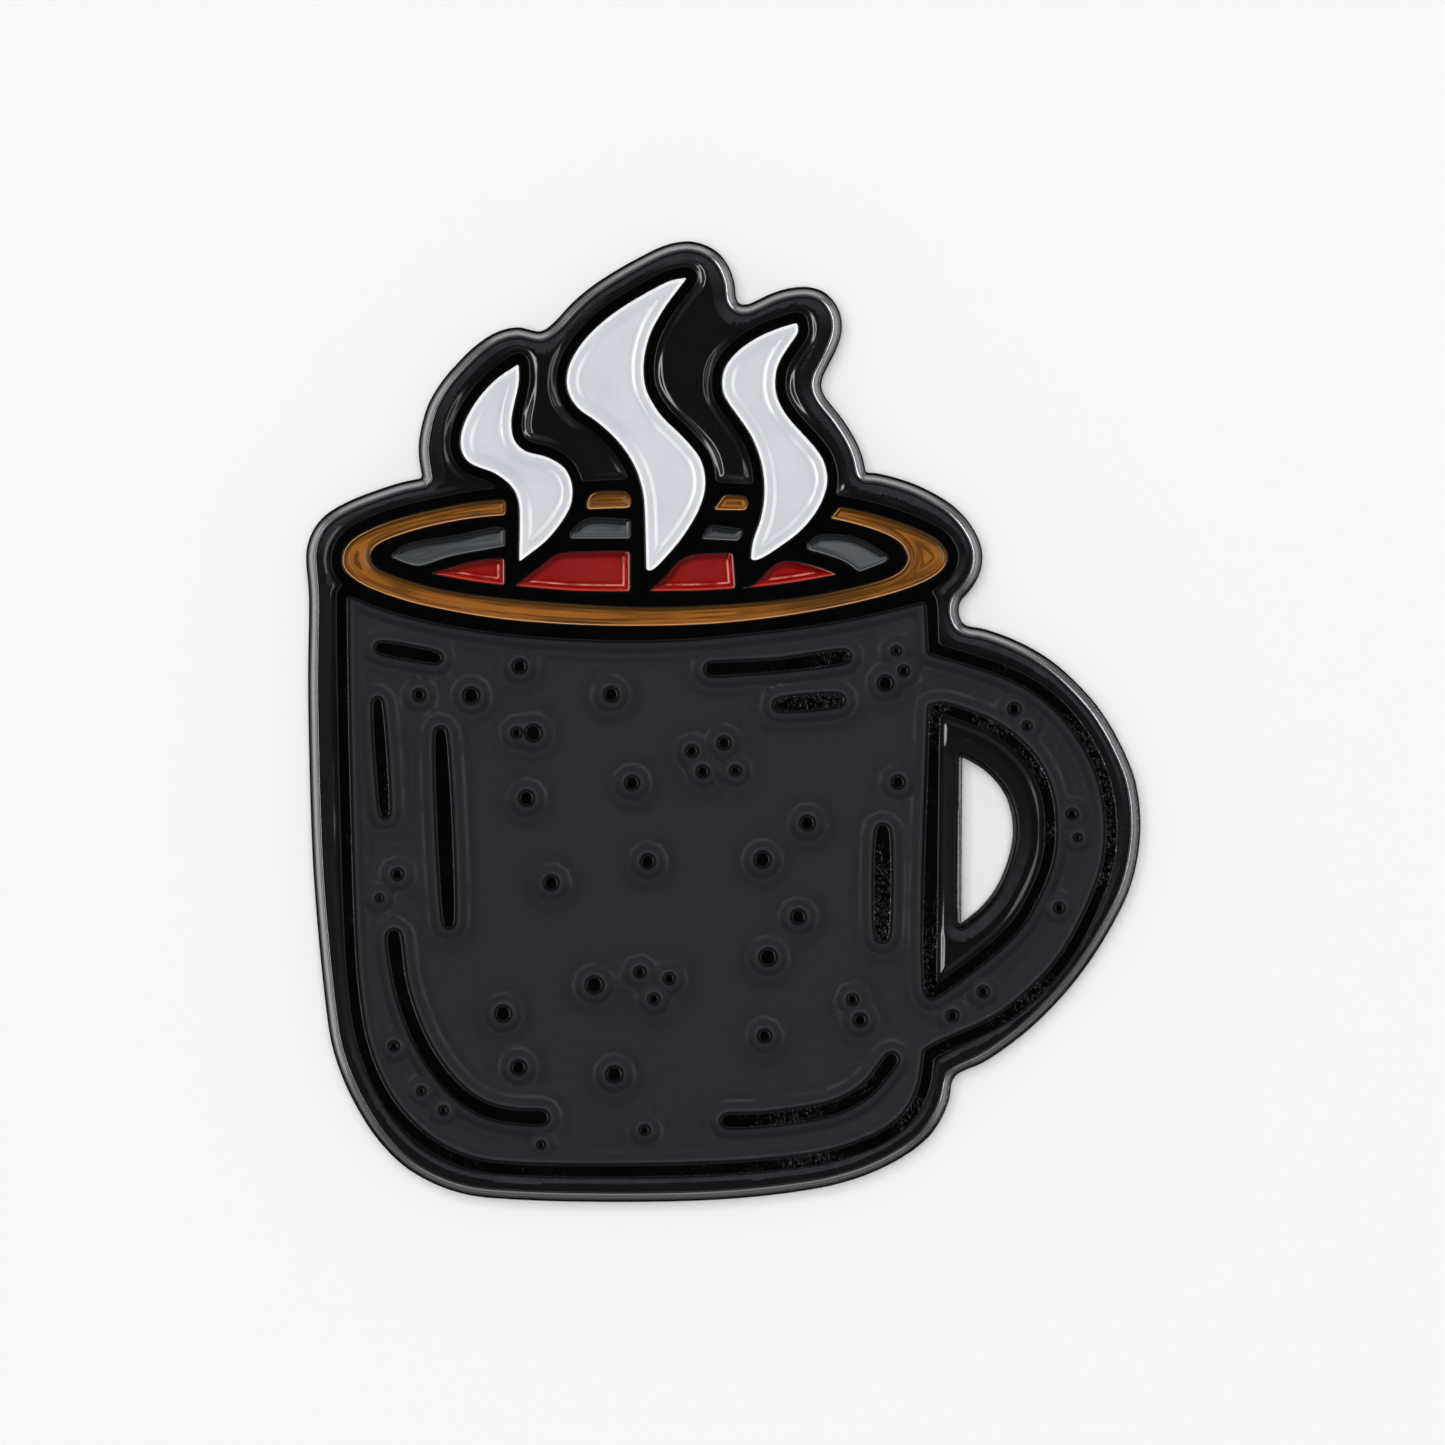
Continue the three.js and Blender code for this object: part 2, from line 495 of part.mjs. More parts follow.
// A hat section with feet on the floor of the cup and a hole for the post in its top.
function bridge(name) {
  const side = BRIDGE.width / 2;
  const wall = side - SHEET;
  const foot = side + BRIDGE.footReach;
  const roof = BRIDGE.top - SHEET;
  const shoulder = BRIDGE.top - BRIDGE.edge;
  const section = new THREE.Shape([
    [-foot, SHEET], [-wall, SHEET], [-wall, roof], [wall, roof], [wall, SHEET], [foot, SHEET],
    [foot, BRIDGE.foot], [side, BRIDGE.foot], [side, shoulder], [side - BRIDGE.edge, BRIDGE.top],
    [BRIDGE.edge - side, BRIDGE.top], [-side, shoulder], [-side, BRIDGE.foot], [-foot, BRIDGE.foot],
  ].map(([y, z]) => new THREE.Vector2(y, z)));
  const hat = new THREE.ExtrudeGeometry(section, { depth: BRIDGE.length, bevelEnabled: false })
    .translate(0, 0, -BRIDGE.length / 2)
    .applyMatrix4(new THREE.Matrix4().makeBasis(
      new THREE.Vector3(0, 1, 0), new THREE.Vector3(0, 0, 1), new THREE.Vector3(1, 0, 0)));
  const drill = new THREE.CylinderGeometry(BRIDGE.hole, BRIDGE.hole, 4 * SHEET, POST_SIDES)
    .rotateX(Math.PI / 2).translate(0, 0, BRIDGE.top);
  return part(`${name}_clutch_bridge`, surface(solid(hat).subtract(solid(drill))), BRASS);
}

// One half of the butterfly spring: a jaw beside the post, a bend under the bridge and a finger tab.
// side is 1 for the right wing and -1 for the left one.
function wing(name, side) {
  const middle = WING_LINE.map(([x, z]) => new THREE.Vector3(x, z, 0));
  const bend = new THREE.CatmullRomCurve3(middle, false, 'centripetal');
  const strip = offsetStrip(bend.getSpacedPoints(WING_PIECES), SHEET);
  const half = new THREE.ExtrudeGeometry(strip, { depth: WING_WIDTH, bevelEnabled: false })
    .translate(0, 0, -WING_WIDTH / 2)
    .rotateX(Math.PI / 2);
  const near = WING_PLAN.slice(0, -1).map(([x, y]) => new THREE.Vector2(x, -y));
  const far = WING_PLAN.map(([x, y]) => new THREE.Vector2(x, y)).reverse();
  const tab = new THREE.Shape([...near, ...far]);
  const plan = new THREE.ExtrudeGeometry(tab, { depth: 2 * WING_WIDTH, bevelEnabled: false });
  const right = surface(solid(half).intersect(solid(plan)));
  const word = side > 0 ? 'right' : 'left';
  const turned = side > 0 ? right : right.rotateZ(Math.PI);
  return part(`${name}_clutch_wing_${word}`, turned, SPRING_BRASS);
}

// The section of a bent strip of sheet, from the middle line of its thickness.
function offsetStrip(line, thickness) {
  const sides = [1, -1].map((sign) => line.map((point, i) => {
    const before = line[Math.max(0, i - 1)];
    const after = line[Math.min(line.length - 1, i + 1)];
    const across = new THREE.Vector2(before.y - after.y, after.x - before.x).normalize();
    return new THREE.Vector2(point.x, point.y).addScaledVector(across, (sign * thickness) / 2);
  }));
  return new THREE.Shape([...sides[1], ...sides[0].reverse()]);
}

// ---------- assembly ----------

const pin = new THREE.Group();

const face = new THREE.Group();
face.rotation.x = Math.PI / 2;
face.add(plate(), ...enamels());
pin.add(face);

for (const [name, height] of Object.entries(POST_HEIGHTS)) {
  const fixing = new THREE.Group();
  fixing.position.set(POST_X, 0, height);
  fixing.rotation.x = -Math.PI / 2;
  fixing.add(post(name), solder(name));
  const clutch = new THREE.Group();
  clutch.position.z = CLUTCH_GAP;
  clutch.add(cup(name), bridge(name), wing(name, 1), wing(name, -1));
  fixing.add(clutch);
  pin.add(fixing);
}

export default pin;
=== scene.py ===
"""Looks of a soft-enamel pin: a steaming coffee mug in black metal, with two butterfly clutches."""

import math

import bmesh
import bpy
import numpy as np
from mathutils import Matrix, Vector, geometry, kdtree, noise


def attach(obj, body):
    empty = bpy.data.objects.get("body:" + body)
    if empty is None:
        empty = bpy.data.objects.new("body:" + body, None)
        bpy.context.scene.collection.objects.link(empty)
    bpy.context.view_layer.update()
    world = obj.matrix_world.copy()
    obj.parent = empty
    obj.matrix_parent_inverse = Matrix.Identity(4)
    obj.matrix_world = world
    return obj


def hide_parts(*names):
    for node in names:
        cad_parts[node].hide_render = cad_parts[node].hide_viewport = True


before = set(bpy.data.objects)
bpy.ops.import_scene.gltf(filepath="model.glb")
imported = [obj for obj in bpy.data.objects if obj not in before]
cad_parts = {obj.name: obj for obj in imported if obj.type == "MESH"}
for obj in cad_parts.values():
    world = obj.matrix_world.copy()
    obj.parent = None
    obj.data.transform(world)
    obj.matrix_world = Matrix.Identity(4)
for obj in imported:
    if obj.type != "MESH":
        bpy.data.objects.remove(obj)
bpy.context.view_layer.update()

MM = 0.001
SPACING = 0.09  # distance between points along an outline, in mm
FINE_STEP = 0.02  # distance between the points that a spline is measured with, in mm
CORNER = math.radians(52)  # a sharper turn than this stays a corner
GRID = 0.3  # distance between points of a surface away from its outlines, in mm

# Heights above the back of the plate, in mm.
PLATE_TOP = 1.5  # raised lines
ENAMEL_TOP = 1.35  # the CAD's enamels
WALL_FOOT = 1.12  # walls of the recesses end here, under the enamel
FILL_TOP = 1.47  # no enamel stands higher
FILL_FOOT = 1.06  # walls of the fills end here

WHITE_ENAMELS = ["steam_enamel_left", "steam_enamel_middle", "steam_enamel_right"]
AMBER_ENAMELS = ["lip_enamel_loop", "lip_enamel_left_gap", "lip_enamel_middle_gap"]
GREY_ENAMELS = [f"inside_wall_enamel_{place}" for place in ("left", "left_gap", "middle_gap", "right")]
RED_ENAMELS = [f"coffee_enamel_{place}" for place in ("left", "left_gap", "middle_gap", "right")]


# ---------- outlines, in mm as seen from the front ----------

def cap_outlines(node, height):
    """Outlines of a CAD node's flat face at a height above the plate's back, with the solid on their left."""
    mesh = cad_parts[node].data
    points = [(round(v.co.x / MM, 4), round(v.co.z / MM, 4)) for v in mesh.vertices]
    on_face = [abs(-v.co.y / MM - height) < 1e-3 for v in mesh.vertices]
    border = {}
    for face in mesh.polygons:
        ring = list(face.vertices)
        if not all(on_face[i] for i in ring):
            continue
        corners = [points[i] for i in ring]
        if signed_area(corners) < 0:
            corners.reverse()
        for a, b in zip(corners, corners[1:] + corners[:1]):
            if a in border.get(b, ()):
                border[b].remove(a)
            elif a != b:
                border.setdefault(a, []).append(b)
    loops = []
    for start in [a for a in border if border[a]]:
        if not border[start]:
            continue
        loop = [start]
        here = border[start].pop()
        while here != start:
            loop.append(here)
            here = border[here].pop()
        loops.append(np.array(loop))
    return loops


def signed_area(ring):
    """Area inside a ring of points, negative where they run clockwise."""
    xy = np.asarray(ring, float)
    nxt = np.roll(xy, -1, axis=0)
    return float(np.sum(xy[:, 0] * nxt[:, 1] - nxt[:, 0] * xy[:, 1])) / 2


def spline_piece(p0, p1, p2, p3, steps):
    """Points from p1 up to p2 on the centripetal Catmull-Rom spline through four points."""
    t1 = max(np.linalg.norm(p1 - p0), 1e-9) ** 0.5
    t2 = t1 + max(np.linalg.norm(p2 - p1), 1e-9) ** 0.5
    t3 = t2 + max(np.linalg.norm(p3 - p2), 1e-9) ** 0.5
    t = np.linspace(t1, t2, steps, endpoint=False)[:, None]
    a1 = (t1 - t) / t1 * p0 + t / t1 * p1
    a2 = (t2 - t) / (t2 - t1) * p1 + (t - t1) / (t2 - t1) * p2
    a3 = (t3 - t) / (t3 - t2) * p2 + (t - t2) / (t3 - t2) * p3
    b1 = (t2 - t) / t2 * a1 + t / t2 * a2
    b2 = (t3 - t) / (t3 - t1) * a2 + (t - t1) / (t3 - t1) * a3
    return (t2 - t) / (t2 - t1) * b1 + (t - t1) / (t2 - t1) * b2


def smooth_outline(loop, spacing=SPACING):
    """An outline as evenly spaced points, its smooth stretches made into splines and its corners kept."""
    n = len(loop)
    ahead = np.roll(loop, -1, axis=0) - loop
    behind = loop - np.roll(loop, 1, axis=0)
    turn = np.arctan2(
        behind[:, 0] * ahead[:, 1] - behind[:, 1] * ahead[:, 0],
        np.sum(behind * ahead, axis=1))
    corners = set(np.flatnonzero(np.abs(turn) > CORNER))
    dense = []
    for i in range(n):
        p1, p2 = loop[i], loop[(i + 1) % n]
        p0 = 2 * p1 - p2 if i in corners else loop[i - 1]
        p3 = 2 * p2 - p1 if (i + 1) % n in corners else loop[(i + 2) % n]
        steps = max(2, int(np.linalg.norm(p2 - p1) / FINE_STEP))
        dense.append(spline_piece(p0, p1, p2, p3, steps))
    dense = np.vstack(dense)
    closed = np.vstack([dense, dense[:1]])
    along = np.concatenate([[0], np.cumsum(np.linalg.norm(np.diff(closed, axis=0), axis=1))])
    count = max(12, round(along[-1] / spacing))
    places = np.linspace(0, along[-1], count, endpoint=False)
    even = np.stack([np.interp(places, along, closed[:, k]) for k in (0, 1)], axis=1)
    return 0.25 * np.roll(even, 1, axis=0) + 0.5 * even + 0.25 * np.roll(even, -1, axis=0)


def smooth_outlines(node, height):
    """A CAD node's smooth outlines at a height above the plate's back, the largest first."""
    loops = [smooth_outline(loop) for loop in cap_outlines(node, height)]
    return sorted(loops, key=lambda loop: -abs(signed_area(loop)))


def inward_normals(loop):
    """Unit vectors to the left of an outline's direction, which is where its solid lies."""
    along = np.roll(loop, -1, axis=0) - np.roll(loop, 1, axis=0)
    along /= np.maximum(np.linalg.norm(along, axis=1), 1e-9)[:, None]
    return np.stack([-along[:, 1], along[:, 0]], axis=1)


def tree_of(loops):
    """A search tree of the outlines' points."""
    points = np.vstack(loops)
    tree = kdtree.KDTree(len(points))
    for i, (x, y) in enumerate(points):
        tree.insert((x, y, 0), i)
    tree.balance()
    return tree


def nearest(tree, points):
    """Distance to the nearest point of a tree and the unit direction away from it, for each point."""
    found = [tree.find((x, y, 0)) for x, y in points]
    distance = np.array([f[2] for f in found])
    places = np.array([f[0][:2] for f in found])
    away = (points - places) / np.maximum(distance, 1e-6)[:, None]
    return distance, away


def inside(points, loops):
    """Which points an odd number of outlines go round."""
    a = np.vstack(loops)
    b = np.vstack([np.roll(loop, -1, axis=0) for loop in loops])
    result = np.zeros(len(points), bool)
    for start in range(0, len(points), 500):
        part = points[start:start + 500]
        px, py = part[:, 0:1], part[:, 1:2]
        spans = (a[:, 1] > py) != (b[:, 1] > py)
        rise = np.where(b[:, 1] == a[:, 1], 1e-12, b[:, 1] - a[:, 1])
        cross = a[:, 0] + (py - a[:, 1]) / rise * (b[:, 0] - a[:, 0])
        result[start:start + 500] = np.sum(spans & (px < cross), axis=1) % 2 == 1
    return result


# ---------- surfaces that follow outlines ----------

def scatter(loops, rows, grid, crowding=0.55):
    """Points inside the outlines, in rows that follow them at the given distances and in a grid beyond.

    Points closer together than the share of SPACING that crowding gives are thinned out."""
    tree = tree_of(loops)
    taken = []
    for row in rows:
        every = 1 if row < GRID else 2
        row_points = np.vstack([
            (loop + inward_normals(loop) * row)[::every] for loop in loops if len(loop) > 2])
        distance, _ = nearest(tree, row_points)
        taken.append(row_points[distance > row * 0.96])
    lowest = np.min(np.vstack(loops), axis=0)
    highest = np.max(np.vstack(loops), axis=0)
    xs = np.arange(lowest[0], highest[0], grid)
    ys = np.arange(lowest[1], highest[1], grid * 0.866)  # so that the triangles are nearly equilateral
    grid_x, grid_y = np.meshgrid(xs, ys)
    grid_x[::2] += grid / 2
    middle = np.stack([grid_x.ravel(), grid_y.ravel()], axis=1)
    distance, _ = nearest(tree, middle)
    taken.append(middle[distance > rows[-1] + grid * 0.4])
    points = thinned(np.vstack(taken), crowding)
    return points[inside(points, loops)]


def thinned(points, share):
    """Points without those that lie closer to an earlier one than a share of SPACING."""
    gap = SPACING * share
    cells = {}
    kept = []
    for x, y in points:
        cell = (int(x // gap), int(y // gap))
        crowd = (cells.get((cell[0] + i, cell[1] + j)) for i in (-1, 0, 1) for j in (-1, 0, 1))
        if any(c and (c[0] - x) ** 2 + (c[1] - y) ** 2 < gap * gap for c in crowd):
            continue
        cells[cell] = (x, y)
        kept.append((x, y))
    return np.array(kept)


def triangulated(loops, interior):
    """Points and triangles of the area between outlines, with the outlines' own points first."""
    rim = np.vstack(loops)
    points = np.vstack([rim, interior]) if len(interior) else rim
    edges = []
    first = 0
    for loop in loops:
        n = len(loop)
        edges += [(first + i, first + (i + 1) % n) for i in range(n)]
        first += n
    made = geometry.delaunay_2d_cdt([Vector(p) for p in points], edges, [], 0, 1e-7, True)
    verts, faces, origins = made[0], made[2], made[3]
    verts = np.array([tuple(v) for v in verts])
    on_rim = np.array([any(o < len(rim) for o in origin) for origin in origins])
    faces = np.array([f for f in faces if len(f) == 3])
    all_rim = on_rim[faces].all(axis=1)
    keep = ~all_rim
    centres = verts[faces[all_rim]].mean(axis=1)
    keep[np.flatnonzero(all_rim)[inside(centres, loops)]] = True
    return verts, faces[keep]


class Builder:
    """Collects the points and faces of one mesh, in mm: x to the right, h up from the back, z upward."""

    def __init__(self):
        self.points = []
        self.faces = []
        self.values = {}
        self.count = 0

    def add(self, xy, heights, faces, **values):
        """Adds points and their faces, with values at the points for the materials to read."""
        xy = np.asarray(xy, float)
        heights = np.broadcast_to(heights, len(xy))
        self.points.append(np.stack([xy[:, 0], -heights, xy[:, 1]], axis=1))
        self.faces += [[int(i) + self.count for i in face] for face in faces]
        for name, value in values.items():
            self.values.setdefault(name, []).append((self.count, np.asarray(value, float)))
        self.count += len(xy)

    def add_wall(self, loop, levels):
        """A wall along an outline through a list of (height, shift into the solid) levels, top first."""
        normals = inward_normals(loop)
        n = len(loop)
        xy = np.vstack([loop + normals * shift for _, shift in levels])
        heights = np.repeat([height for height, _ in levels], n)
        faces = []
        for row in range(len(levels) - 1):
            for i in range(n):
                j = (i + 1) % n
                a, b = row * n + i, row * n + j
                faces.append((a, a + n, b + n, b))
        self.add(xy, heights, faces)

    def mesh(self, name):
        data = bpy.data.meshes.new(name)
        points = np.vstack(self.points) * MM
        data.from_pydata([tuple(p) for p in points], [], self.faces)
        for value_name, parts in self.values.items():
            whole = np.zeros(self.count, np.float32)
            for first, part in parts:
                whole[first:first + len(part)] = part
            data.attributes.new(value_name, "FLOAT", "POINT").data.foreach_set("value", whole)
        data.polygons.foreach_set("use_smooth", [True] * len(data.polygons))
        data.update()
        return data


def piece(name, data, body, stands_for, material):
    """A visible piece that rides on a body in place of CAD nodes."""
    obj = bpy.data.objects.new(name, data)
    bpy.context.scene.collection.objects.link(obj)
    data.materials.append(material)
    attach(obj, body)
    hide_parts(*stands_for)


def weld(data):
    """Joins points that coincide and turns all faces outward."""
    bm = bmesh.new()
    bm.from_mesh(data)
    bmesh.ops.remove_doubles(bm, verts=bm.verts, dist=2e-7)
    bmesh.ops.recalc_face_normals(bm, faces=bm.faces)
    bm.to_mesh(data)
    bm.free()


# ---------- the struck plate ----------

# Rounded edges of the plate: a level ledge along the outline, then a slope that is steepest there, in
# degrees, and levels out at the full width, in mm.
RIM = {"ledge": 0.1, "width": 0.5, "steepest": 56}
OPENING_RIM = {"ledge": 0.05, "width": 0.19, "steepest": 54}
LINE_EDGE = 0.035  # radius of the edges of the raised lines
BACK_EDGE = 0.12  # radius of the edge of the back
SIDE_LEAN = 0.012  # how far the side of the plate leans in
# Distances of the rows of points on the plate's front from its outlines, in mm.
PLATE_ROWS = [0.01, 0.035, 0.07, 0.1, 0.14, 0.19, 0.24, 0.3, 0.36, 0.42, 0.48]

SMALL = 0.6  # outlines with less area than this, in square mm, are dots, dashes and the smallest cells
SAND_GAP = 0.4  # raised metal closer than this to a small outline has no sand


def rim_drop(distance, rim):
    """How far a rounded rim lies below the raised lines at a distance from the outline."""
    reach = rim["width"] - rim["ledge"]
    steepest = math.radians(rim["steepest"])
    share = np.clip((rim["width"] - distance) / reach, 0, 1)
    return -reach / steepest * np.log(np.cos(steepest * share))


def smooth_step(value, low, high):
    """0 below low, 1 above high and a smooth climb between them."""
    share = np.clip((value - low) / (high - low), 0, 1)
    return share * share * (3 - 2 * share)


def edge_drop(distance):
    """How far the round edge of a raised line lies below its top at a distance from the line's wall."""
    share = np.clip(distance / LINE_EDGE, 0, 1)
    return LINE_EDGE * (1 - np.sqrt(1 - (1 - share) ** 2))


def plate_outlines():
    """All outlines of the plate's front, the largest first, and the one of the handle's opening."""
    loops = smooth_outlines("base_plate", PLATE_TOP)
    at_back = smooth_outlines("base_plate", 0)[1]

    def difference(loop):
        shift = np.linalg.norm(loop.mean(axis=0) - at_back.mean(axis=0))
        return shift + abs(abs(signed_area(loop)) - abs(signed_area(at_back)))

    return loops, min(loops[1:], key=difference)


def rim_highlight(xy, out, away, hole):
    """How much the metal is painted greyer as a painted highlight, at distances from the silhouette and the
    opening.

    The rim's painted highlight is strongest at the upper left and all along the upper part of the pin."""
    # Painted highlight: the rim band and a thin line round the opening are painted greyer, so that they
    # reflect brighter.
    upper_left = smooth_step(0.6 * away[:, 0] - 0.8 * away[:, 1], -0.3, 0.6)
    wear_and_sheen = np.maximum(upper_left, smooth_step(xy[:, 1], 4, 8))
    rim = smooth_step(out, 0.08, 0.2) * (1 - smooth_step(out, 0.34, 0.46)) * (0.65 + 0.35 * wear_and_sheen)
    opening_rim = 0.08 * (hole > OPENING_RIM["ledge"]) * (hole < 0.16)
    return np.maximum(rim, opening_rim)


def sandiness(xy, hole, from_small):
    """How sandy the raised metal is, which also places its painted glints: most at the lower right, less
    round the opening, none round dots.
    """
    lower = smooth_step(-xy[:, 1], -5, -1)
    right = smooth_step(xy[:, 0], 0, 5)
    round_opening = smooth_step(2 - hole, 0, 1)
    sand = lower * (0.3 + 0.5 * right) * (1 - 0.6 * round_opening)
    return np.maximum(sand, 0.12) * (from_small > SAND_GAP)


def add_front(builder, loops, opening, recess_edges):
    """The raised lines and the rims, seen from the front."""
    xy, faces = triangulated(loops, scatter(loops, PLATE_ROWS, GRID))
    out, away = nearest(tree_of(loops[:1]), xy)
    hole, _ = nearest(tree_of([opening]), xy)
    edge, _ = nearest(tree_of(recess_edges), xy)
    small = [loop for loop in recess_edges if abs(signed_area(loop)) < SMALL]
    from_small, _ = nearest(tree_of(small), xy)
    drops = [rim_drop(out, RIM), rim_drop(hole, OPENING_RIM), edge_drop(edge)]
    builder.add(xy, PLATE_TOP - np.maximum.reduce(drops), faces,
                rim=rim_highlight(xy, out, away, hole), sand=sandiness(xy, hole, from_small))


def add_sides_and_back(builder, silhouette, opening):
    """The outer side, the side of the opening, and the back between them."""
    bend = [(BACK_EDGE * (1 - math.sin(a)), BACK_EDGE * (1 - math.cos(a)))
            for a in np.linspace(0, math.pi / 2, 5)]
    for loop, rim in ((silhouette, RIM), (opening, OPENING_RIM)):
        low = PLATE_TOP - float(rim_drop(0, rim))
        builder.add_wall(loop, [(low, 0), (low * 0.6, SIDE_LEAN)] + bend)
    shrunk = [loop + inward_normals(loop) * BACK_EDGE for loop in (silhouette, opening)]
    xy, faces = triangulated(shrunk, scatter(shrunk, [GRID], 4 * GRID))
    builder.add(xy, 0.0, [face[::-1] for face in faces], sand=np.full(len(xy), 0.7))


def make_plate(material):
    loops, opening = plate_outlines()
    recess_edges = [loop for loop in loops[1:] if loop is not opening]
    builder = Builder()
    add_front(builder, loops, opening, recess_edges)
    for loop in recess_edges:
        builder.add_wall(loop, [(PLATE_TOP - LINE_EDGE, 0), (WALL_FOOT, 0)])
    add_sides_and_back(builder, loops[0], opening)
    data = builder.mesh("plate_metal")
    weld(data)
    piece("plate_metal", data, "pin", ["base_plate"], material)


# ---------- the enamels ----------

# Heights of the two dark fills away from their walls, above the back of the plate, in mm.
BLACK_LEVEL = 1.27
CHARCOAL_LEVEL = 1.34

# Slope of each fill's surface at distances from its wall: (mm, degrees).
RIM_SIDE = [(0, -18), (0.08, -10), (0.5, -10), (0.6, -3), (0.7, 0)]
LINE_SIDE = [(0, -12), (0.1, -10), (0.17, -25), (0.25, -25), (0.33, -5), (0.42, 0)]
BODY_SLOPES = [(0, -16), (0.08, -4), (0.2, 0), (0.3, -13), (0.42, 0), (0.62, 0), (0.76, -14), (0.9, 0)]
WHITE_SLOPES = [(0, -60), (0.05, -25), (0.1, 0), (0.24, 4), (0.36, 21), (0.46, 21), (0.6, 0)]
AMBER_SLOPES = [(0, 0), (0.1, 2), (0.15, 35), (0.19, 35), (0.24, 2), (0.32, 0)]
GREY_SLOPES = [(0, 0), (0.05, 36), (0.09, 36), (0.14, 2), (0.2, 0)]
RED_SLOPES = [(0, 0), (0.16, 2), (0.21, 36), (0.25, 36), (0.3, 2), (0.4, 0)]

# Distances from the walls of the rows of points that a fill's surface is made of, in mm.
ROWS = [0.02, 0.05, 0.09, 0.14, 0.2, 0.27, 0.35, 0.43, 0.51, 0.6, 0.7, 0.8, 0.9]
FINE_ROWS = [0.02, 0.05] + [0.08 + 0.03 * i for i in range(12)] + [0.5, 0.6, 0.7]


def ripple(points, size, seed):
    """Smooth noise between about -1 and 1 at points, with waves of a size in mm."""
    return np.array([noise.noise((x / size, y / size, seed)) for x, y in points])


def profile(distance, slopes):
    """Height over the middle of a fill at a distance from its wall, from (distance, degrees) of slope.

    A negative slope climbs towards the wall, and a positive one falls towards it."""
    places = np.linspace(0, slopes[-1][0], 400)
    angles = np.interp(places, [d for d, _ in slopes], [a for _, a in slopes])
    rises = np.tan(np.radians(angles)) * (places[1] - places[0])
    heights = np.cumsum(rises) - np.sum(rises)
    return np.interp(distance, places, heights)


def make_enamel(node, material, level, slopes, lean):
    """An enamel fill in a recess, shaped by the slopes beside its walls.

    One that leans has them mostly beside the walls below it and to its right."""
    loops, xy, faces = fill_points(node, FINE_ROWS, crowding=0.3)
    wall, away = nearest(tree_of(loops), xy)
    over = profile(wall, slopes)
    if lean:
        over *= 0.1 + 0.9 * np.clip(1.6 * np.maximum(away[:, 1], -away[:, 0]), 0, 1)
    fill(node, material, loops, xy, faces, level + over)


def make_channel(node, material, rim_outside):
    """The black enamel between a rim of the plate and the raised lines, with uneven slopes at the lines."""
    loops, xy, faces = fill_points(node, ROWS)
    first, others = loops[:1], loops[1:]
    rim, _ = nearest(tree_of(first if rim_outside else others), xy)
    line, _ = nearest(tree_of(others if rim_outside else first), xy)
    if rim_outside:
        uneven = (1 + 1.6 * ripple(xy, 2.2, 7.7)) * (0.6 + 0.4 * smooth_step(xy[:, 1], 3, 8))
    else:
        uneven = 1 + 0.3 * ripple(xy, 2.2, 7.7)
    heights = BLACK_LEVEL + profile(rim, RIM_SIDE) + profile(line, LINE_SIDE) * uneven
    fill(node, material, loops, xy, faces, heights, rim)


def make_body(material):
    """The charcoal enamel of the mug's body and handle, which climbs in low steps to its walls."""
    loops, xy, faces = fill_points("body_enamel", ROWS)
    wall, _ = nearest(tree_of(loops), xy)
    heights = CHARCOAL_LEVEL + profile(wall, BODY_SLOPES)
    fill("body_enamel", material, loops, xy, faces, heights)


def fill_points(node, rows, crowding=0.55):
    """A fill's outlines, and the points and triangles of its surface."""
    loops = smooth_outlines(node, ENAMEL_TOP)
    xy, faces = triangulated(loops, scatter(loops, rows, GRID, crowding))
    return loops, xy, faces


def fill(node, material, loops, xy, faces, heights, edge=None):
    """A fill's piece, with what its colour depends on at every point.

    wall is the distance from the nearest wall, and right and up are the direction away from it. edge is
    the distance from the largest outline, or from the rim where it is given."""
    wall, away = nearest(tree_of(loops), xy)
    if edge is None:
        edge, _ = nearest(tree_of(loops[:1]), xy)
    builder = Builder()
    builder.add(xy, np.minimum(heights + 0.004 * ripple(xy, 1.6, 3.1), FILL_TOP), faces,
                wall=wall, edge=edge, right=away[:, 0], up=away[:, 1])
    for loop in loops:
        builder.add_wall(loop, [(FILL_TOP, 0), (FILL_FOOT, 0)])
    piece(f"{node}_fill", builder.mesh(f"{node}_fill"), "pin", [node], material)


# ---------- materials ----------

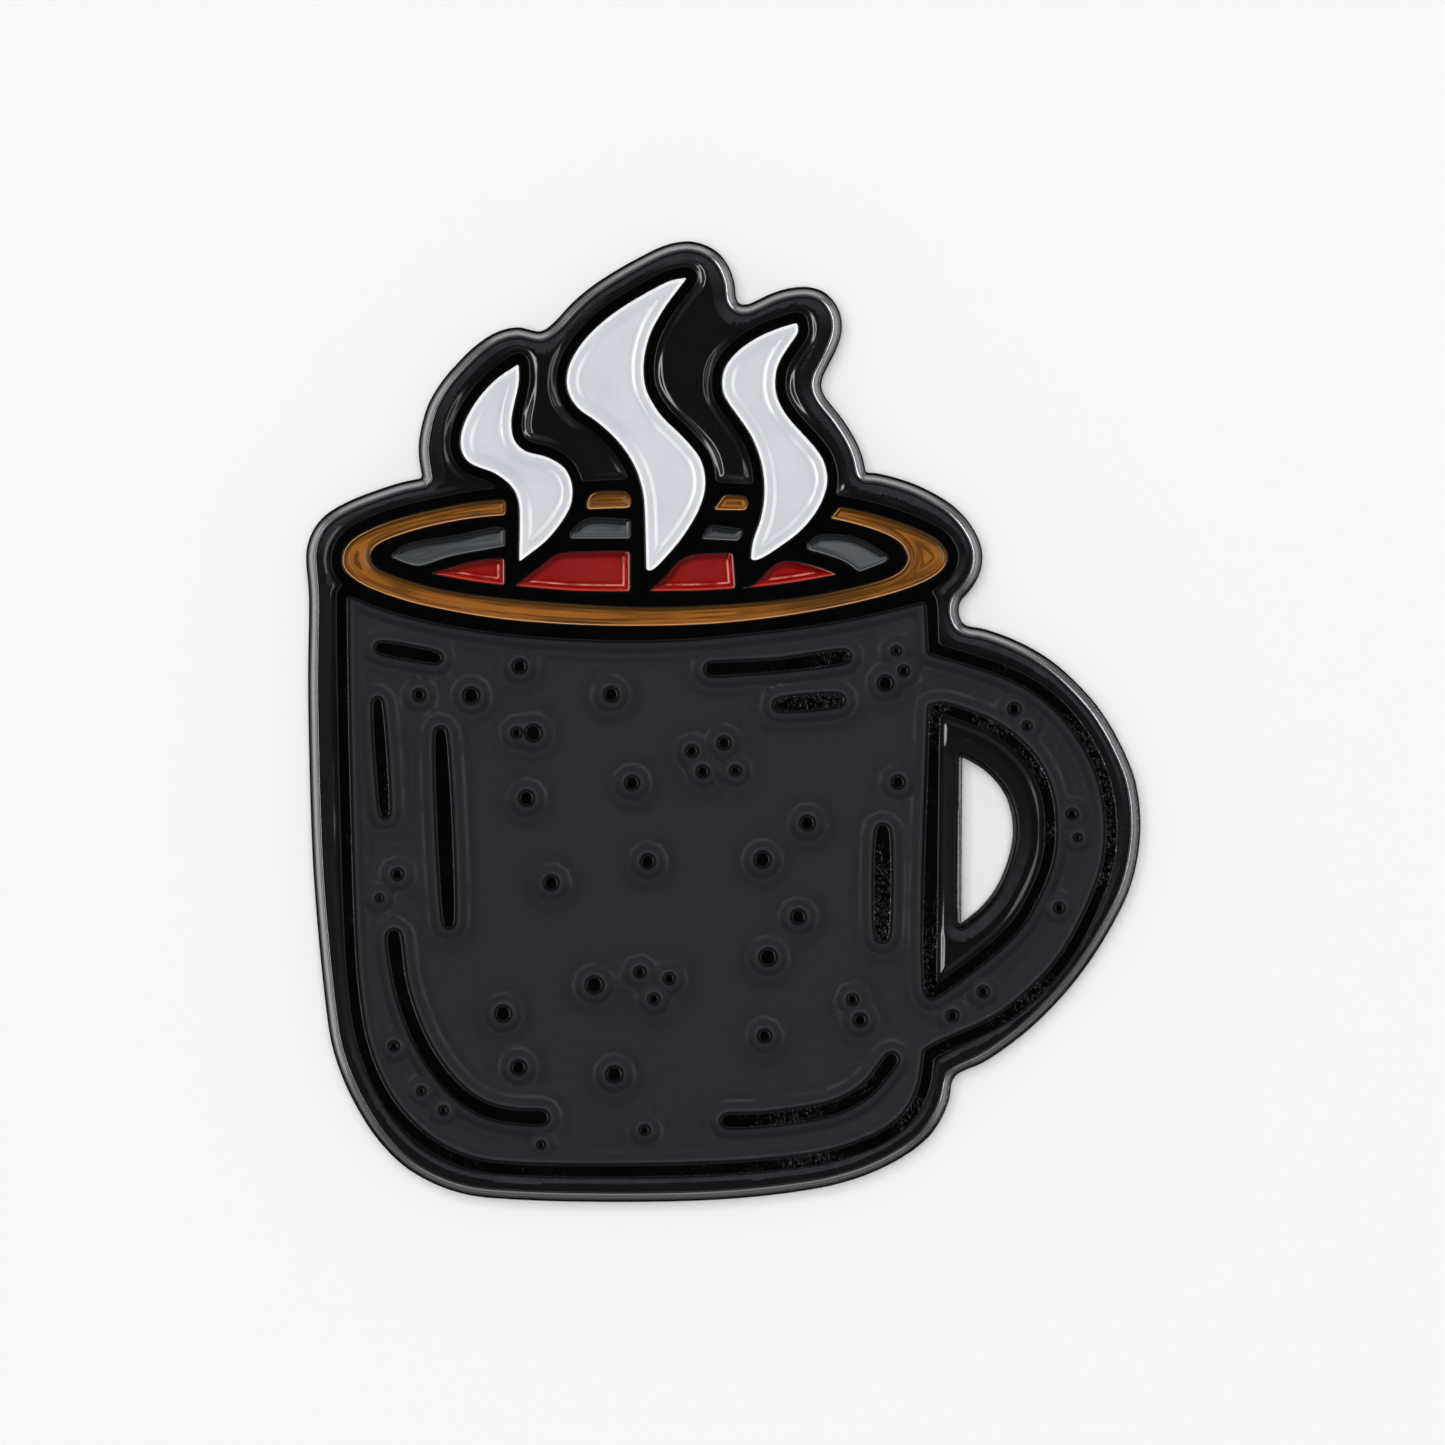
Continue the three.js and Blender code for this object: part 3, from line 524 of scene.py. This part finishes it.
class Nodes:
    """Small helper to write a material's node tree, with sizes in mm."""

    def __init__(self, name):
        self.material = bpy.data.materials.new(name)
        self.material.use_nodes = True
        self.tree = self.material.node_tree
        self.shader = self.tree.nodes["Principled BSDF"]

    def new(self, kind, **settings):
        """A new node, with values for its sockets and settings by name."""
        node = self.tree.nodes.new(kind)
        for key, value in settings.items():
            if key in node.inputs:
                node.inputs[key].default_value = value
            else:
                setattr(node, key, value)
        return node

    def link(self, start, end):
        self.tree.links.new(start, end)

    def set(self, **values):
        """Sets the shader's own sockets, whose names have _ for a space here."""
        for key, value in values.items():
            self.shader.inputs[key.replace("_", " ")].default_value = value

    def value(self, attribute):
        """The value that the mesh carries at its points under a name."""
        return self.new("ShaderNodeAttribute", attribute_name=attribute).outputs["Fac"]

    def ramp(self, source, low, high, at_low=0.0, at_high=1.0):
        """A smooth change from at_low to at_high while the source goes from low to high."""
        node = self.new("ShaderNodeMapRange", interpolation_type="SMOOTHSTEP")
        self.link(source, node.inputs["Value"])
        limits = {"From Min": low, "From Max": high, "To Min": at_low, "To Max": at_high}
        for key, number in limits.items():
            node.inputs[key].default_value = number
        return node.outputs["Result"]

    def math(self, operation, a, b):
        node = self.new("ShaderNodeMath", operation=operation)
        for socket, source in zip(node.inputs, (a, b)):
            if isinstance(source, (int, float)):
                socket.default_value = source
            else:
                self.link(source, socket)
        return node.outputs[0]

    def mix(self, share, first, second):
        """The first colour, mixed with a share of the second."""
        node = self.new("ShaderNodeMix", data_type="RGBA")
        for key, source in ((0, share), (6, first), (7, second)):
            if isinstance(source, (int, float)):
                node.inputs[key].default_value = source
            elif isinstance(source, tuple):
                node.inputs[key].default_value = (*source, 1)
            else:
                self.link(source, node.inputs[key])
        return node.outputs[2]

    def noise(self, size, detail=2.0):
        place = self.new("ShaderNodeTexCoord").outputs["Object"]
        scaled = self.new("ShaderNodeMapping")
        scaled.inputs["Scale"].default_value = [1 / (size * MM)] * 3
        self.link(place, scaled.inputs["Vector"])
        node = self.new("ShaderNodeTexNoise", Scale=1.0, Detail=detail)
        self.link(scaled.outputs["Vector"], node.inputs["Vector"])
        return node.outputs["Fac"]

    def bump(self, height, depth):
        node = self.new("ShaderNodeBump", Strength=1.0, Distance=depth * MM)
        self.link(height, node.inputs["Height"])
        self.link(node.outputs["Normal"], self.shader.inputs["Normal"])


def srgb(r, g, b):
    """A colour as it shows on a screen, from 0 to 255, as the linear one that a shader takes."""
    return tuple(c / 255 / 12.92 if c <= 10 else ((c / 255 + 0.055) / 1.055) ** 2.4 for c in (r, g, b))


def black_metal():
    """Black dyed metal, painted greyer as a painted highlight where the rim value is set, with grains where
    it is sandy and pale specks there that are painted glints.
    """
    n = Nodes("black_metal")
    n.set(Metallic=1.0, Roughness=0.25)
    patches = n.math("MULTIPLY", n.ramp(n.noise(2.5, 2), 0.35, 0.6), n.value("sand"))
    # Painted glints: pale specks on the sandy patches.
    specks = n.math("MULTIPLY", n.ramp(n.noise(0.09, 2), 0.6, 0.66), patches)
    lines = n.mix(specks, srgb(38, 38, 41), srgb(92, 92, 95))
    # Painted highlight: greyer metal where the rim value is set.
    n.link(n.mix(n.value("rim"), lines, srgb(148, 148, 151)), n.shader.inputs["Base Color"])
    sand = n.math("MULTIPLY", n.ramp(n.noise(0.14, 2), 0.5, 0.65), patches)
    n.bump(n.math("MULTIPLY", sand, n.ramp(n.value("rim"), 0.0, 0.3, 1.0, 0.1)), 0.018)
    return n.material


def enamel(name, colour_of, gloss=0.5):
    """A smooth glossy paint with the colour that a function makes from the material's nodes."""
    n = Nodes(name)
    n.set(Roughness=0.12, Specular_IOR_Level=gloss)
    n.link(colour_of(n), n.shader.inputs["Base Color"])
    n.bump(n.noise(1.1, 2), 0.003)
    return n.material


def streaks(n):
    """Noise drawn out into lines that follow the walls of a fill."""
    along, across = 0.35, 9.0  # waves per mm
    place = n.new("ShaderNodeTexCoord").outputs["Object"]
    split = n.new("ShaderNodeSeparateXYZ")
    n.link(place, split.inputs[0])
    joined = n.new("ShaderNodeCombineXYZ")
    n.link(n.math("MULTIPLY", split.outputs["X"], along / MM), joined.inputs["X"])
    n.link(n.math("MULTIPLY", split.outputs["Z"], along / MM), joined.inputs["Y"])
    n.link(n.math("MULTIPLY", n.value("wall"), across), joined.inputs["Z"])
    noise_node = n.new("ShaderNodeTexNoise", Scale=1.0, Detail=2.0)
    n.link(joined.outputs[0], noise_node.inputs["Vector"])
    return noise_node.outputs["Fac"]


def near_wall(n, side, reach, sign):
    """1 beside the walls on one side of a fill, fading to 0 within a reach in mm.

    With side up the wall is below for sign 1 and above for -1, and with side right left and right."""
    facing = n.ramp(n.math("MULTIPLY", n.value(side), sign), 0.1, 0.6)
    return n.math("MULTIPLY", facing, n.ramp(n.value("wall"), reach * 0.5, reach, 1.0, 0.0))


def band(n, attribute, start, full, end, gone):
    """1 between two distances from a wall, fading to 0 on either side."""
    place = n.value(attribute)
    return n.math("MULTIPLY", n.ramp(place, start, full), n.ramp(place, end, gone, 1.0, 0.0))


def black_colour(n):
    """Black with a painted grey sheen in a band beside the rim, strongest below an upper wall."""
    base = n.mix(n.noise(3.0), srgb(11, 11, 13), srgb(15, 15, 17))
    below_wall = n.ramp(n.value("up"), -0.95, 0.3, 1.0, 0.08)
    # Painted sheen: a grey band beside the rim, strongest where the wall is above.
    lit = n.math("MULTIPLY", band(n, "edge", 0.04, 0.1, 0.42, 0.58), below_wall)
    sheen_grey = n.mix(n.noise(0.35, 3), srgb(30, 31, 34), srgb(56, 57, 62))
    return n.mix(lit, base, sheen_grey)


def charcoal_colour(n):
    """Charcoal with a painted shade at the foot of every wall and below the walls further out, and above the
    walls a painted highlight line round the foot and a faint painted highlight ring further out.
    """
    upper = n.ramp(n.value("up"), -0.7, 0.4)
    lower = n.ramp(n.value("up"), -0.4, 0.2, 1.0, 0.0)
    # Painted shade: darker below the walls, further out from them.
    shade = n.math("MULTIPLY", band(n, "wall", 0.2, 0.34, 0.44, 0.52), lower)
    colour = n.mix(shade, srgb(36, 37, 41), srgb(30, 31, 34))
    # Painted highlight: a faint broken ring further out, above the walls and away from the outer edge.
    broken = n.math("MULTIPLY", upper, n.ramp(n.noise(1.3), 0.35, 0.6))
    away = n.math("MULTIPLY", broken, n.ramp(n.value("edge"), 0.7, 0.9))
    ring = n.math("MULTIPLY", band(n, "wall", 0.42, 0.5, 0.54, 0.62), away)
    colour = n.mix(ring, colour, srgb(50, 52, 57))
    # Painted highlight: a light line round the foot, above the walls.
    lip = n.math("MULTIPLY", band(n, "wall", 0.09, 0.13, 0.15, 0.21), n.math("MULTIPLY", upper, 0.45))
    colour = n.mix(lip, colour, srgb(58, 60, 66))
    # Painted shade: darker at the foot of every wall.
    return n.mix(n.ramp(n.value("wall"), 0.03, 0.1, 1.0, 0.0), colour, srgb(14, 14, 16))


def white_colour(n):
    """White that is painted palest at the walls as a painted highlight, with a broken pale streak further in
    at the sides that is a painted highlight too.
    """
    core = n.mix(n.noise(1.8), srgb(192, 195, 202), srgb(214, 217, 223))
    # Painted highlight: a broken pale streak further in at the sides.
    sides = n.math("MAXIMUM", n.ramp(n.value("right"), -0.8, -0.3, 1.0, 0.0),
                   n.ramp(n.value("right"), 0.7, 0.95, 0.0, 0.8))
    glow = n.math("MULTIPLY", band(n, "wall", 0.3, 0.4, 0.44, 0.56), n.ramp(n.noise(2.6), 0.35, 0.55))
    lit = n.mix(n.math("MULTIPLY", glow, sides), core, srgb(238, 239, 243))
    # Painted highlight: palest at the walls.
    return n.mix(n.ramp(n.value("wall"), 0.05, 0.16), srgb(250, 251, 253), lit)


def amber_colour(n):
    """Amber with stripes along the walls as painted highlight streaks, dark below the upper walls as painted
    shade and pale at the lower and left ones as a painted highlight.
    """
    # Painted highlight streaks: stripes that follow the walls.
    stripes = n.ramp(streaks(n), 0.38, 0.62)
    core = n.mix(stripes, srgb(86, 48, 1), srgb(144, 84, 10))
    # Painted shade: darker below the upper walls.
    darker = n.mix(near_wall(n, "up", 0.2, -1), core, srgb(66, 42, 2))
    # Painted highlight: pale at the lower and left walls.
    pale = n.math("MAXIMUM", near_wall(n, "up", 0.06, 1), near_wall(n, "right", 0.05, 1))
    return n.mix(pale, darker, srgb(204, 146, 92))


def grey_colour(n):
    """Grey with stripes that follow the walls, dark below the upper walls as painted shade and pale at the
    lower ones as a painted highlight.
    """
    core = n.mix(n.ramp(streaks(n), 0.3, 0.7), srgb(56, 60, 63), srgb(80, 85, 88))
    # Painted shade: darker below the upper walls.
    darker = n.mix(near_wall(n, "up", 0.34, -1), core, srgb(26, 28, 30))
    # Painted highlight: pale at the lower walls.
    return n.mix(near_wall(n, "up", 0.05, 1), darker, srgb(124, 128, 130))


def red_colour(n):
    """Red, dark below the upper walls as painted shade, pale at the lower and right ones as a painted
    highlight, with a broken painted glint beside them.
    """
    core = n.mix(n.noise(0.9), srgb(112, 0, 0), srgb(146, 1, 1))
    # Painted shade: darker below the upper walls.
    deep = n.mix(near_wall(n, "up", 0.3, -1), core, srgb(84, 0, 0))
    # Painted glint: a broken pale line beside the lower and right walls.
    below = n.ramp(n.value("up"), 0.3, 0.7)
    beside = n.ramp(n.value("right"), -0.7, -0.4, 1.0, 0.0)
    glint = n.math("MULTIPLY", band(n, "wall", 0.19, 0.22, 0.24, 0.28), n.math("MAXIMUM", below, beside))
    lit = n.mix(n.math("MULTIPLY", glint, n.ramp(n.noise(0.8), 0.35, 0.6)), deep, srgb(222, 130, 108))
    # Painted highlight: warm orange-red at the lower walls.
    warm = n.mix(near_wall(n, "up", 0.09, 1), lit, srgb(190, 52, 28))
    # Painted highlight: pale at the walls on the right.
    return n.mix(near_wall(n, "right", 0.05, -1), warm, srgb(214, 150, 138))


def metal(name, colour, roughness):
    """Bare metal of one colour, handled unevenly."""
    n = Nodes(name)
    n.set(Metallic=1.0)
    n.shader.inputs["Base Color"].default_value = (*colour, 1)
    wear_and_sheen = n.noise(1.5, 4)
    n.link(n.ramp(wear_and_sheen, 0.3, 0.7, roughness - 0.05, roughness + 0.08), n.shader.inputs["Roughness"])
    n.bump(n.noise(0.2, 3), 0.003)
    return n.material


# ---------- posts and clutches ----------

CLUTCH_GAP = 1.2  # between the plate and a clutch at rest, in mm
# Outlines of half sections, as (distance from the axis, height above the base), in mm.
POST_SECTION = [
    (0, 0), (1.36, 0), (1.4, 0.04), (1.4, 0.26), (1.36, 0.3), (0.68, 0.3), (0.59, 0.33), (0.55, 0.42),
    (0.55, 5.98), (0.53, 6.03), (0.44, 6.17), (0.43, 6.23), (0.43, 6.47), (0.44, 6.53), (0.53, 6.67),
    (0.55, 6.72), (0.55, 6.88), (0.535, 6.94), (0.17, 7.86), (0.12, 7.95), (0.06, 7.99), (0, 8)]
SOLDER_SECTION = [
    (1.38, 0.01), (1.9, 0.01), (1.8, 0.04), (1.7, 0.065), (1.61, 0.1), (1.53, 0.15), (1.47, 0.21),
    (1.43, 0.27), (1.38, 0.295)]
CUP_SECTION = [
    (0.85, 0), (4.7, 0), (5.35, 0.25), (5.6, 0.8), (5.5, 1.3), (5.2, 1.4), (4.85, 1.25), (4.95, 0.9),
    (5.15, 0.95), (5.25, 0.8), (5.1, 0.5), (4.6, 0.35), (3.3, 0.35), (3.15, 0.28), (2.9, 0.28),
    (2.75, 0.35), (0.85, 0.35)]


def post_axis(name):
    """Where a post stands, as x and z in mm, from its CAD node."""
    points = np.array([vertex.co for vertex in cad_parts[f"{name}_post"].data.vertices]) / MM
    middle = (points.min(axis=0) + points.max(axis=0)) / 2
    return round(float(middle[0]), 3), round(float(middle[2]), 3)


POST_AXES = {name: post_axis(name) for name in ("upper", "lower")}


def turned(section, sides, axis, base, uneven=0.0):
    """A closed half section turned round a post's axis, with its base at a height behind the plate.

    An uneven one has its outer parts pulled in by up to that share."""
    builder = Builder()
    rows = len(section)
    inner = section[0][0]
    points = []
    for k in range(sides):
        angle = 2 * math.pi * k / sides
        across, up = math.cos(angle), math.sin(angle)
        pull = uneven * (0.5 + noise.noise((1.3 * across, 1.3 * up, axis[1])))
        for radius, height in section:
            reach = inner + (radius - inner) * (1 - pull)
            points.append((axis[0] + reach * across, axis[1] + reach * up, -(base + height)))
    points = np.array(points)
    faces = []
    for k in range(sides):
        here, there = k * rows, (k + 1) % sides * rows
        for i in range(rows):
            j = (i + 1) % rows
            faces.append((here + i, here + j, there + j, there + i))
    builder.add(points[:, :2], points[:, 2], faces)
    data = builder.mesh("turned")
    weld(data)
    data.set_sharp_from_angle(angle=math.radians(38))
    return data


def rounded_section(section, spacing):
    """A closed half section with its smooth stretches made into splines."""
    line = smooth_outline(np.array(section, float), spacing)
    lowest, highest = np.min(section, axis=0), np.max(section, axis=0)
    return [tuple(point) for point in np.clip(line, lowest, highest)]


def make_posts(steel, solder):
    for name, axis in POST_AXES.items():
        post = turned(POST_SECTION, 48, axis, 0)
        piece(f"{name}_post_pin", post, "pin", [f"{name}_post"], steel)
        ring = turned(SOLDER_SECTION, 96, axis, 0, uneven=0.45)
        piece(f"{name}_solder_ring", ring, "pin", [f"{name}_solder"], solder)


def make_clutches(brass, spring):
    """Turned cups, and the CAD's bridges and wings with the edges of the sheet broken."""
    section = rounded_section(CUP_SECTION, 0.07)
    looks = {"bridge": brass, "wing_left": spring, "wing_right": spring}
    for name, axis in POST_AXES.items():
        cup = turned(section, 96, axis, CLUTCH_GAP)
        piece(f"{name}_cup", cup, f"{name}_clutch", [f"{name}_clutch_cup"], brass)
        for part, material in looks.items():
            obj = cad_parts[f"{name}_clutch_{part}"]
            obj.data.materials.clear()
            obj.data.materials.append(material)
            bevel = obj.modifiers.new("broken_edges", "BEVEL")
            bevel.width = 0.07 * MM
            bevel.segments = 3
            bevel.limit_method = "ANGLE"
            bevel.angle_limit = math.radians(40)
            bevel.harden_normals = True


# ---------- stage, light and camera ----------

def make_backdrop():
    """Pale paper close behind the plate.

    It is see-through from behind, and for the short rays between it and the back of the plate."""
    half, gap, near = 0.6, 0.0003, 0.0008
    data = bpy.data.meshes.new("backdrop")
    corners = [(-half, gap, -half), (half, gap, -half), (half, gap, half), (-half, gap, half)]
    data.from_pydata(corners, [], [(0, 1, 2, 3)])
    obj = bpy.data.objects.new("backdrop", data)
    bpy.context.scene.collection.objects.link(obj)
    n = Nodes("pale_paper")
    n.set(Roughness=0.9, Specular_IOR_Level=0.0)
    n.shader.inputs["Base Color"].default_value = (0.93, 0.93, 0.93, 1)
    clear = n.new("ShaderNodeBsdfTransparent")
    from_behind = n.new("ShaderNodeNewGeometry").outputs["Backfacing"]
    length = n.new("ShaderNodeLightPath").outputs["Ray Length"]
    both = n.new("ShaderNodeMixShader")
    n.link(n.math("MAXIMUM", from_behind, n.math("LESS_THAN", length, near)), both.inputs[0])
    n.link(n.shader.outputs[0], both.inputs[1])
    n.link(clear.outputs[0], both.inputs[2])
    n.link(both.outputs[0], n.tree.nodes["Material Output"].inputs["Surface"])
    data.materials.append(n.material)


LIGHT_DISTANCE = 1.3  # metres
# Name, azimuth and elevation in degrees, width and height in metres, watts, and what the light does.
SOFTBOXES = [
    ("front", -4, 5, 0.6, 0.6, 9.1, "diffuse"),
    ("straight_on", 0, 0, 0.2, 0.2, 5.0, "diffuse"),
    ("right_strip", 42, 8, 0.3, 1.2, 9.0, "reflection"),
    ("left_strip", -42, 8, 0.3, 1.2, 2.4, "reflection"),
    ("far_right", 80, 0, 0.6, 1.6, 2.2, "reflection"),
    ("far_left", -78, 8, 0.6, 1.6, 3.0, "reflection"),
    ("low_strip", 0, -58, 1.6, 0.4, 1.6, "reflection"),
    ("high_strip", 0, 75, 1.6, 0.5, 2.5, "reflection"),
    ("behind", 150, 30, 0.7, 0.7, 14.0, "both"),
    ("behind_low", -150, -10, 0.7, 0.7, 8.0, "both"),
]


def softbox(name, azimuth, elevation, width, height, power, lights):
    """A rectangular light aimed at the pin. Azimuth 0 is in front of it and 90 is to its right.

    It lights diffuse surfaces, shows as a reflection, or does both."""
    light = bpy.data.lights.new(name, "AREA")
    light.shape = "RECTANGLE"
    light.size, light.size_y = width, height
    light.energy = power
    obj = bpy.data.objects.new(name, light)
    bpy.context.scene.collection.objects.link(obj)
    a, e = math.radians(azimuth), math.radians(elevation)
    place = Vector((math.sin(a) * math.cos(e), -math.cos(a) * math.cos(e), math.sin(e)))
    obj.location = place * LIGHT_DISTANCE
    obj.rotation_mode = "QUATERNION"
    obj.rotation_quaternion = (-place).to_track_quat("-Z", "Y")
    obj.visible_glossy = lights != "diffuse"
    obj.visible_diffuse = lights != "reflection"


def make_world(level):
    """Soft light of a level all round, with a dark patch behind the camera that the flat enamel mirrors."""
    world = bpy.data.worlds.new("studio")
    bpy.context.scene.world = world
    world.use_nodes = True
    tree = world.node_tree
    dark = 0.03
    patch_inside, patch_outside = -0.97, -0.7  # y of the directions between which the patch fades out
    place = tree.nodes.new("ShaderNodeTexCoord").outputs["Generated"]
    split = tree.nodes.new("ShaderNodeSeparateXYZ")
    tree.links.new(place, split.inputs[0])
    fade = tree.nodes.new("ShaderNodeMapRange")
    fade.interpolation_type = "SMOOTHSTEP"
    limits = {"From Min": patch_inside, "From Max": patch_outside, "To Min": dark, "To Max": level}
    for key, number in limits.items():
        fade.inputs[key].default_value = number
    tree.links.new(split.outputs["Y"], fade.inputs["Value"])
    tree.nodes["Background"].inputs["Color"].default_value = (1, 1, 1, 1)
    tree.links.new(fade.outputs[0], tree.nodes["Background"].inputs["Strength"])


def make_camera():
    """A long lens straight in front of the pin, which takes in frame_width at the pin's distance."""
    camera = bpy.data.cameras.new("camera")
    obj = bpy.data.objects.new("camera", camera)
    bpy.context.scene.collection.objects.link(obj)
    frame_width, distance = 0.0572, 0.5  # metres
    camera.sensor_width = 36
    camera.lens = camera.sensor_width * distance / frame_width
    camera.clip_start, camera.clip_end = 0.05, 10
    obj.location = (0, -distance, 0)
    obj.rotation_euler = (math.pi / 2, 0, 0)
    bpy.context.scene.camera = obj


# ---------- the whole pin ----------

# Nodes, colour, gloss, height in mm away from the walls, slopes, and whether it leans, for each paint.
COLOURED = {
    "white_enamel": (WHITE_ENAMELS, white_colour, 0.5, 1.46, WHITE_SLOPES, False),
    "amber_enamel": (AMBER_ENAMELS, amber_colour, 0.4, 1.46, AMBER_SLOPES, False),
    "grey_enamel": (GREY_ENAMELS, grey_colour, 0.5, 1.45, GREY_SLOPES, False),
    "red_enamel": (RED_ENAMELS, red_colour, 0.3, 1.46, RED_SLOPES, True),
}

make_plate(black_metal())

black = enamel("black_enamel", black_colour)
make_channel("border_enamel", black, rim_outside=True)
make_channel("handle_border_enamel", black, rim_outside=False)
make_body(enamel("charcoal_enamel", charcoal_colour))
for slot, (nodes, colour_of, gloss, level, slopes, lean) in COLOURED.items():
    material = enamel(slot, colour_of, gloss)
    for node in nodes:
        make_enamel(node, material, level, slopes, lean)

make_posts(metal("post_steel", srgb(190, 190, 194), 0.3), metal("solder", srgb(175, 175, 172), 0.45))
make_clutches(metal("brass", srgb(214, 176, 96), 0.26), metal("spring_brass", srgb(222, 190, 116), 0.24))

make_backdrop()
make_world(0.3)
for box in SOFTBOXES:
    softbox(*box)
make_camera()
bpy.context.scene.view_settings.view_transform = "Standard"
